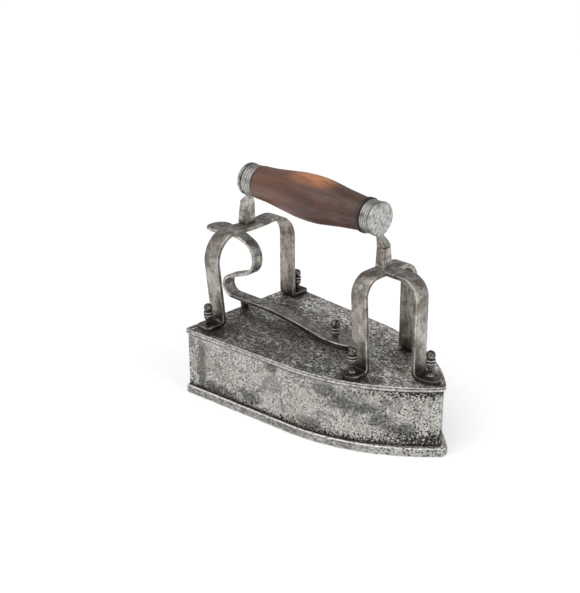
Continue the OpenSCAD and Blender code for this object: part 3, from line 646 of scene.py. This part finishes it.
def box_bar(x0, x1, y0, y1, z0, z1):
    ring = [(x0, y0), (x1, y0), (x1, y1), (x0, y1)]
    return [raised(ring, z0), raised(ring, z1)]


def make_sole():
    round_edge = 1.8
    turns = [math.radians(12 * k) for k in range(8)]
    edge = [(round_edge * (1 - math.sin(a)), round_edge * (1 - math.cos(a))) for a in turns]
    edge += [(0.0, 3.4), (0.05, 4.7), (0.22, 5.35), (0.55, 5.95), (1.0, 6.25), (1.6, SOLE_TOP)]
    rings = [raised(outline(inset, SOLE_MARGIN, SOLE_REACH, 2.2), z) for inset, z in edge]
    rib_y, rib_half, rib_top = 18, 2, 9.8
    ribs = [box_bar(-72, 44, y - rib_half, y + rib_half, SOLE_TOP - 0.1, rib_top) for y in (-rib_y, rib_y)]
    points, faces = loft(rings, *ribs)
    return finished(build("sole", points, faces, [SOLE_IRON], 50), "root", "polished_iron", "sole_plate")


def make_wall():
    """One strip round the nose, open at the stern, let into both plates by a hair."""
    hair = 0.05
    past_corner = STERN_STEPS + CORNER_STEPS
    outer = outline(RIM_OVERHANG, corner=0.3)[past_corner:1 - past_corner]
    inner = outline(RIM_OVERHANG + WALL, corner=0.3)[past_corner:1 - past_corner]
    stern = STERN_X + RIM_OVERHANG
    ring = [(stern, outer[0][1]), *outer, (stern, outer[-1][1])]
    ring += [(stern, inner[-1][1]), *inner[::-1], (stern, inner[0][1])]
    rings = [raised(ring, z) for z in (SOLE_TOP - hair, 12.0, 25.0, 38.0, WALL_TOP + hair)]
    points, faces = loft(rings)
    return finished(build("wall", points, faces, [WALL_IRON], 50), "root", "polished_iron", "side_wall")


def make_top_plate():
    edge = [(0.95, WALL_TOP)] + bead(0.0, 1.0, WALL_TOP)[1:] + bead(0.1, 0.68, RIM_GROOVE_Z)
    edge += [(1.1, PLATE_TOP)]
    rings = [raised(outline(inset), min(z, PLATE_TOP)) for inset, z in edge]
    points, faces = loft(rings)
    piece = build("top_plate_moulded", points, faces, [PLATE_IRON], 60)
    return finished(piece, "root", "dark_iron", "top_plate")


# Straps

EASED_EDGE = 0.55
BAR_STRIPS = 16


def eased_corners(half_a, half_b, radius):
    """A rectangle with round corners, as BAR_STRIPS points round its middle."""
    a, b = half_a - radius, half_b - radius
    corners = [((a, b), 0), ((-a, b), 90), ((-a, -b), 180), ((a, -b), 270)]
    return [p for centre, start in corners for p in arc(centre, radius, start, start + 90, 3)]


def strap_rings(path, half_width, thickness, place):
    """Rings of a flat bar along a path. half_width(i, p) and thickness(i, p) give its size at a point;
    place(u, w, z) turns along, across and up into the part's frame."""
    rings = []
    for i, p in enumerate(path):
        a, b = path[max(i - 1, 0)], path[min(i + 1, len(path) - 1)]
        length = math.dist(a, b)
        nu, nz = -(b[1] - a[1]) / length, (b[0] - a[0]) / length
        half, half_thick = max(half_width(i, p), 0.3), thickness(i, p) / 2
        section = eased_corners(half, half_thick, min(EASED_EDGE, half * 0.5, half_thick * 0.9))
        rings.append([place(p[0] + nu * t, w, p[1] + nz * t) for w, t in section])
    return rings


def strap_choice(i):
    """Broad faces 0, corners 1 painted paler as a highlight, narrow sides 2 painted darker as shade, for the
    strips of an eased bar.
    """
    strip = i % BAR_STRIPS
    return 1 if strip % 4 != 3 else (0 if strip in (3, 11) else 2)


def eased_ends(path, reach=0.35):
    """Short last steps, so that a bar's ends are eased like its edges."""
    def drawn_in(p, q):
        length = math.dist(p, q)
        return (p[0] + (q[0] - p[0]) * reach / length, p[1] + (q[1] - p[1]) * reach / length)
    return [path[0], drawn_in(path[0], path[1]), *path[1:-1], drawn_in(path[-1], path[-2]), path[-1]]


def leg_path(half, lean, foot_end, shoulder):
    """Centre line from the crown over the shoulder, down the leg and out along the foot.
    lean is how far the leg's foot is drawn in."""
    t, bend = STRAP / 2, 1.6
    down = arc((half - shoulder, SUPPORT_HEIGHT - shoulder), shoulder - t, 90, 0, 14)
    foot = arc((half - lean + bend, STRAP + bend), bend + t, 180, 270, 6)
    return down + foot + [(foot_end, t)]


def near_side(path):
    """A far leg's path as a near leg's, from its foot to the crown."""
    return [(-u, z) for u, z in path[::-1]]


def make_strap(name, node, path, half_width, place):
    points, faces = loft(strap_rings(path, half_width, lambda i, p: STRAP, place))
    piece = build(name, points, faces, STRAP_SET, 50, strap_choice)
    return finished(piece, "root", "forged_steel", node)


def make_rear_support():
    """An arch with a dipped crown; its feet narrow towards their ends."""
    leg, shoulder, near_end, far_end, half = 37, 19, 45.9, 50.4, 6.35
    near, far = leg_path(leg, 4.5, near_end, shoulder), leg_path(leg, 0, far_end, shoulder)
    dip = [(-18, 1.4), (-8, 2.1), (0, 2.25), (8, 2.1), (18, 1.4)]
    crown = smooth_curve([(u, SUPPORT_HEIGHT - drop) for u, drop in dip])
    path = eased_ends(resampled(near_side(near)[:-1] + crown + far[1:], 1.1))

    def half_width(i, p):
        end = near_end if p[0] < 0 else far_end
        return between(abs(p[0]), [(end - 2.0, half), (end - 0.4, half - 1.1), (end, half - 1.9)])

    def place(u, w, z):
        return (REAR_STRAP_X + w, u, PLATE_TOP + z)

    return make_strap("rear_strap", "rear_support", path, half_width, place)


def make_front_cross():
    """An arch whose feet are round about their screws."""
    leg, shoulder, half = 25, 12.5, 6.0
    near, far = leg_path(leg, 2.6, 35.3, shoulder), leg_path(leg, 0, 36.0, shoulder)
    path = resampled(near_side(near) + far, 0.9)

    def half_width(i, p):
        past = NEAR_FOOT_Y - p[0] if p[0] < 0 else p[0] - FAR_FOOT_Y
        return half if past <= 0 else math.sqrt(max(half * half - past * past, 0.25))

    def place(u, w, z):
        return (FRONT_STRAP_X + w, u, PLATE_TOP + z)

    return make_strap("front_cross_strap", "front_cross_support", path, half_width, place)


def make_nose_leg():
    """The third front leg, from the crown towards the nose, with its foot drawn to a point."""
    reach = NOSE_LEG_X - FRONT_STRAP_X
    top = SUPPORT_HEIGHT - STRAP / 2
    path = [(3.6, top - 0.5), (4.8, top + 0.03)] + leg_path(reach, 0, reach + 14.8, 12.5)
    path = eased_ends(resampled(path, 0.9))
    foot_plan = [(1.6, 6.0), (3.6, 6.5), (8.3, 6.3), (13.3, 4.5), (14.8, 2.4)]

    def half_width(i, p):
        return 5.95 if p[0] < reach + 1 else between(p[0] - reach, foot_plan)

    def place(u, w, z):
        return (FRONT_STRAP_X + u, w, PLATE_TOP + z)

    return make_strap("nose_strap", "nose_leg", path, half_width, place)


# Latch spring

def spring_path():
    """The spring's centre line in side view: its strap, its double curl and its leaf."""
    strap = [(x, top - thick / 2) for x, top, thick in SPRING_STATIONS]
    lower, lower_r, upper, upper_r = (-94.7, 62.5), 7.25, (-85.3, 86.8), 12.2
    between_them = math.atan2(upper[1] - lower[1], upper[0] - lower[0])
    slope = math.degrees(between_them + math.acos((lower_r + upper_r) / math.dist(lower, upper))) - 90
    top, fall, leaf_r = 68, 91, 46
    curl = arc(lower, lower_r, -90, slope - 270, 30) + arc(upper, upper_r, slope - 90, top, 44)
    c, s = math.cos(math.radians(top)), math.sin(math.radians(top))
    leaf = arc((curl[-1][0] - leaf_r * c, curl[-1][1] - leaf_r * s), leaf_r, top, fall, 10)
    knee = leaf[-1]
    tip = (LEAF_TIP_X, knee[1] - (LEAF_TIP_X - knee[0]) / math.tan(math.radians(fall)))
    return strap, curl, leaf + [tip]


def make_spring():
    """The whole spring with its catch boss, bent from just behind its screw."""
    strap, curl, leaf = spring_path()
    strap, curl, leaf = resampled(strap, 1.2), resampled(curl, 0.8)[1:], resampled(leaf, 0.5)[1:]
    curl_starts, leaf_starts = len(strap), len(strap) + len(curl)
    strap_thickness = [(x, thick) for x, top, thick in SPRING_STATIONS[::-1]]

    def half_width(i, p):
        if i < curl_starts:
            return between(p[0], SPRING_PLAN)
        return between(p[0], LEAF_PLAN) if i >= leaf_starts else between(p[1], CURL_PLAN)

    def thickness(i, p):
        if i < curl_starts:
            return between(p[0], strap_thickness)
        return between(p[0], LEAF_THICKNESS) if i >= leaf_starts else CURL_THICKNESS

    rings = strap_rings(strap + curl + leaf, half_width, thickness, lambda u, w, z: (u, w, z))
    strips = BAR_STRIPS * (len(rings) - 1)

    def choice(i):
        """As on a strap, but the sides of curl and leaf take the corners' painted highlight, and ends and boss
        the strap sides' painted shade."""
        if i >= strips:
            return 2
        kind = strap_choice(i)
        return 1 if kind == 2 and i // BAR_STRIPS >= curl_starts else kind

    points, faces = loft(rings, lathe_rings(CATCH_PROFILE, (DOOR_MID_X, 0, 0), "z", 32))
    piece = build("latch_leaf", points, faces, SPRING_SET, 50, choice)
    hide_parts("latch_spring")
    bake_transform(piece)
    return piece


# Finial screws

def finial_profile(seat, sunk):
    """(radius, z) up a finial screw from the plate's underside; sunk of its height lies below its seat."""
    z0 = seat - sunk
    shape = [(0, WALL_TOP - z0), (FINIAL_STEM, WALL_TOP - z0)]
    if sunk:
        shape += [(FINIAL_STEM, sunk), (1.7, sunk)]
    else:
        shape += [(FINIAL_STEM, 0), (2.0, 0)] + arc((1.35, 0.95), 1.0, -60, 60, 6)
        shape += [(1.62, 2.1), (1.55, 2.8), (1.7, 3.9)]
    shape += arc((-0.4, 8.6), 3.35, -52, 0, 6) + [(2.95, 9.1)]
    shape += arc((2.75, 9.62), 0.5, -70, 70, 4) + [(2.35, 10.2), (2.3, 11.0)]
    shape += arc((2.75, 11.6), 0.5, -70, 70, 4) + [(2.2, 12.3), (2.1, 12.6)]
    ball = 3.0
    shape += arc((0, FINIAL_HEIGHT - ball), ball, -42, 88, 12) + [(0, FINIAL_HEIGHT)]
    return [(max(r, 0.0), z0 + z) for r, z in shape]


def make_finials(name, node, places, seat, material, sunk=0.0):
    profile = finial_profile(seat, sunk)
    points, faces = loft(*[lathe_rings(profile, (x, y, 0), "z", 40) for x, y in places])
    return finished(build(name, points, faces, [material], 42), "root", "turned_steel", node)


# Posts, heads, ferrules and grip

def head_rings(head_x, outward):
    """A round head: flat inside, eased at its rim and barely domed outside."""
    r, t = HEAD_RADIUS, HEAD_THICKNESS
    profile = [(0, 0), (r - 0.5, 0), (r - 0.15, 0.15), (r, 0.5), (r, t - 0.9), (r - 0.25, t - 0.35),
               (r - 0.9, t - 0.1), (r * 0.5, t), (0, t)]
    rings = lathe_rings([(radius, outward * h) for radius, h in profile], (head_x, 0, AXIS_Z), "x", 72)
    return rings if outward > 0 else rings[::-1]


def make_post(name, node, head_x, outward, inner, outer, half_y, base_z, notch=False):
    """A filed post with a bevelled shoulder and a thin neck under its head; inner, outer and half_y are
    (at the foot, at the shoulder), measured outward from the head's inner face."""

    def station(z, inner, outer, half_y):
        mid, half_x = head_x + outward * (inner + outer) / 2, (outer - inner) / 2
        radius = min(0.6, half_x * 0.6, half_y * 0.6)
        return [(mid + x, y, z) for x, y in eased_corners(half_x, half_y, radius)]

    low, top = (inner[0], outer[0], half_y[0]), (inner[1], outer[1], half_y[1])
    rings = [station(base_z, *low), station(base_z + 1.2, *low)]
    if notch:
        filed = (top[0], top[1] - 0.7, top[2])
        rings += [station(FILED_LINE_Z - 0.5, *top), station(FILED_LINE_Z - 0.2, *filed),
                  station(FILED_LINE_Z + 0.2, *filed), station(FILED_LINE_Z + 0.5, *top)]
    rings += [station(BEVEL_Z - 0.2, *top), station(BEVEL_Z + 0.2, top[0], top[1] - 0.25, top[2] - 0.1),
              station(NECK_Z, 0.8, 4.6, 2.75), station(NECK_Z + 0.8, 0.3, 3.5, 2.6),
              station(NECK_Z + 2.2, 0.2, 2.9, 2.5)]
    strips = BAR_STRIPS * (len(rings) - 1)

    def choice(i):
        """The post 0 with its corners 2 painted paler as a highlight, the head 1."""
        if i < strips:
            return 2 if i % 4 != 3 else 0
        return 1 if i >= strips + 2 else 0

    points, faces = loft(rings, head_rings(head_x, outward))
    shaft = NOTCHED_STEEL if notch else POST_STEEL
    piece = build(name, points, faces, [shaft, BRIGHT, EDGE_HIGHLIGHT_STEEL], 38, choice)
    return finished(piece, "root", "forged_steel", node)


def make_ferrule(name, node, x0, x1):
    """A turned band with three fine lines."""
    r = FERRULE_RADIUS
    profile = [(r - 1.7, x0 + 0.02), (r - 0.25, x0 + 0.02), (r, x0 + 0.3)]
    for share in FERRULE_LINES:
        x = x0 + (x1 - x0) * share
        profile += [(r, x - 0.3), (r - 0.14, x), (r, x + 0.3)]
    profile += [(r, x1 - 0.3), (r - 0.25, x1 - 0.02), (r - 1.7, x1 - 0.02)]
    points, faces = loft(lathe_rings(profile, (0, 0, AXIS_Z), "x", 72))
    return finished(build(name, points, faces, [BRIGHT], 45), "root", "bright_steel", node)


def make_grip():
    """The wood with its collar at the front, a crease round its middle and tenons into the ferrules."""
    rear, front = GRIP_REAR_X, GRIP_FRONT_X
    length, tenon = front - rear, 9.0
    curve = smooth_curve([(rear + length * share, radius) for share, radius in GRIP_SHAPE])
    curve = [p for p in curve if p[0] < front - 2.6]
    curve += [(front - 2.5, 11.1), (front - 2.2, 11.45), (front - 0.4, 11.5), (front - 0.05, 11.2)]
    crease_x, crease_depth, crease_width = rear + 0.5 * length, 0.22, 0.35
    creased = [(r - crease_depth * math.exp(-((x - crease_x) / crease_width) ** 2), x) for x, r in curve]
    profile = [(tenon, rear - 8.8), (tenon, rear), *creased, (tenon, front - 0.04), (tenon, front + 6.9)]
    points, faces = loft(lathe_rings(profile, (0, 0, AXIS_Z), "x", 96))
    return finished(build("wooden_grip", points, faces, [WOOD], 45), "root", "dark_wood", "grip")


def make_rod():
    profile = [(ROD_RADIUS, REAR_HEAD_X - 2.6), (ROD_RADIUS, FRONT_HEAD_X + 2.6)]
    points, faces = loft(lathe_rings(profile, (0, 0, AXIS_Z), "x", 40))
    return finished(build("rod", points, faces, [POST_STEEL], 38), "root", "forged_steel", "handle_rod")


make_sole()
make_wall()
make_top_plate()
make_rear_support()
make_front_cross()
make_nose_leg()
make_spring()
make_finials("spring_finial", "spring_screw", SPRING_SCREWS, SPRING_SEAT, SPRING_FINIAL, SPRING_SUNK)
make_finials("rear_finials", "rear_foot_screws", REAR_SCREWS, FOOT_TOP, REAR_FINIALS, REAR_SUNK)
make_finials("front_finials", "front_foot_screws", FRONT_SCREWS, FOOT_TOP, FOOT_FINIALS)
make_post("rear_post_and_head", "rear_post", REAR_HEAD_X, -1,
          inner=(1.2, 0.8), outer=(9.4, 8.2), half_y=(4.45, 3.5), base_z=STRAP_TOP - 0.9)
make_post("front_post_and_head", "front_post", FRONT_HEAD_X, 1,
          inner=(1.7, 2.3), outer=(8.6, 7.9), half_y=(4.2, 4.0), base_z=STRAP_TOP - 0.1, notch=True)
make_ferrule("rear_band", "rear_ferrule", *FERRULES[0])
make_ferrule("front_band", "front_ferrule", *FERRULES[1])
make_grip()
make_rod()


# Nodes that keep their solids

def dress(node, material, ease=0.0):
    """Gives a CAD node its material and, where ease is set, eased edges that wide."""
    piece = nodes[node]
    piece.data.materials.clear()
    piece.data.materials.append(material)
    if ease:
        weld = piece.modifiers.new("weld", "WELD")
        weld.merge_threshold = WELD * MM
        bevel = piece.modifiers.new("ease", "BEVEL")
        bevel.width = ease * MM
        bevel.segments = 2
        bevel.limit_method = "ANGLE"
        bevel.angle_limit = math.radians(40)


dress("stern_door", WALL_IRON, 0.4)
# The knob in the paler steel that paints the straps' edge highlights
dress("door_knob", EDGE_HIGHLIGHT_STEEL)
dress("hinge_pin", POST_STEEL)
dress("heating_slug", SLUG, 0.8)


# Floor, light and camera

def make_floor(half=6000, glow=0.32):
    """A pale floor, lit a little from within so that it stays white under soft light."""
    corners = [(-half, -half), (half, -half), (half, half), (-half, half)]
    mesh = bpy.data.meshes.new("floor")
    mesh.from_pydata([Vector(p) * MM for p in raised(corners, 0)], [], [(0, 1, 2, 3)])
    s = Shader("pale_floor", 0.0)
    s.bsdf.inputs["Emission Color"].default_value = (1.0, 1.0, 1.0, 1.0)
    s.bsdf.inputs["Emission Strength"].default_value = glow
    mesh.materials.append(s.done((0.9, 0.9, 0.9), 0.9))
    floor = placed("floor", mesh)


def direction(azimuth, elevation):
    a, e = math.radians(azimuth), math.radians(elevation)
    return Vector((math.sin(a) * math.cos(e), -math.cos(a) * math.cos(e), math.sin(e)))


def aimed(name, data, back):
    """A new lamp or camera that looks against the direction back."""
    item = placed(name, data)
    item.rotation_mode = "QUATERNION"
    item.rotation_quaternion = back.to_track_quat("Z", "Y")
    return item


def softbox(name, azimuth, elevation, distance, width, height, watts):
    """An area light that points at the iron."""
    back = direction(azimuth, elevation)
    data = bpy.data.lights.new(name, "AREA")
    data.shape = "RECTANGLE"
    data.size, data.size_y = width * MM, height * MM
    data.energy = watts
    lamp = aimed(name, data, back)
    lamp.location = (Vector((0, 0, 60)) + back * distance) * MM


def broad_sun(azimuth, elevation, spread, strength):
    """An even, soft light over the whole floor."""
    data = bpy.data.lights.new("sky_light", "SUN")
    data.energy = strength
    data.angle = math.radians(spread)
    aimed("sky_light", data, direction(azimuth, elevation))


def make_world(strength):
    world = bpy.data.worlds.new("studio")
    world.use_nodes = True
    background = world.node_tree.nodes["Background"]
    background.inputs[0].default_value = (1.0, 1.0, 1.0, 1.0)
    background.inputs[1].default_value = strength
    bpy.context.scene.world = world


def make_camera():
    """The photograph's camera; it looks at a point beside the iron, so it needs no shift."""
    back = direction(CAMERA_AZIMUTH, CAMERA_ELEVATION)
    data = bpy.data.cameras.new("camera")
    data.sensor_fit = "HORIZONTAL"
    data.sensor_width = SENSOR_WIDTH
    data.lens = FOCAL_PIXELS * SENSOR_WIDTH / PHOTO_WIDTH_PIXELS
    data.clip_start, data.clip_end = 10 * MM, 50000 * MM
    camera = aimed("camera", data, back)
    camera.location = (CAMERA_TARGET + back * CAMERA_DISTANCE) * MM
    roll = Euler((0, 0, math.radians(CAMERA_ROLL))).to_quaternion()
    camera.rotation_quaternion = camera.rotation_quaternion @ roll
    bpy.context.scene.camera = camera


make_floor()
make_world(0.42)
broad_sun(-15, 52, spread=75, strength=1.35)
softbox("side", 95, 28, distance=1500, width=800, height=1000, watts=7)
make_camera()
bpy.context.scene.view_settings.view_transform = "Standard"
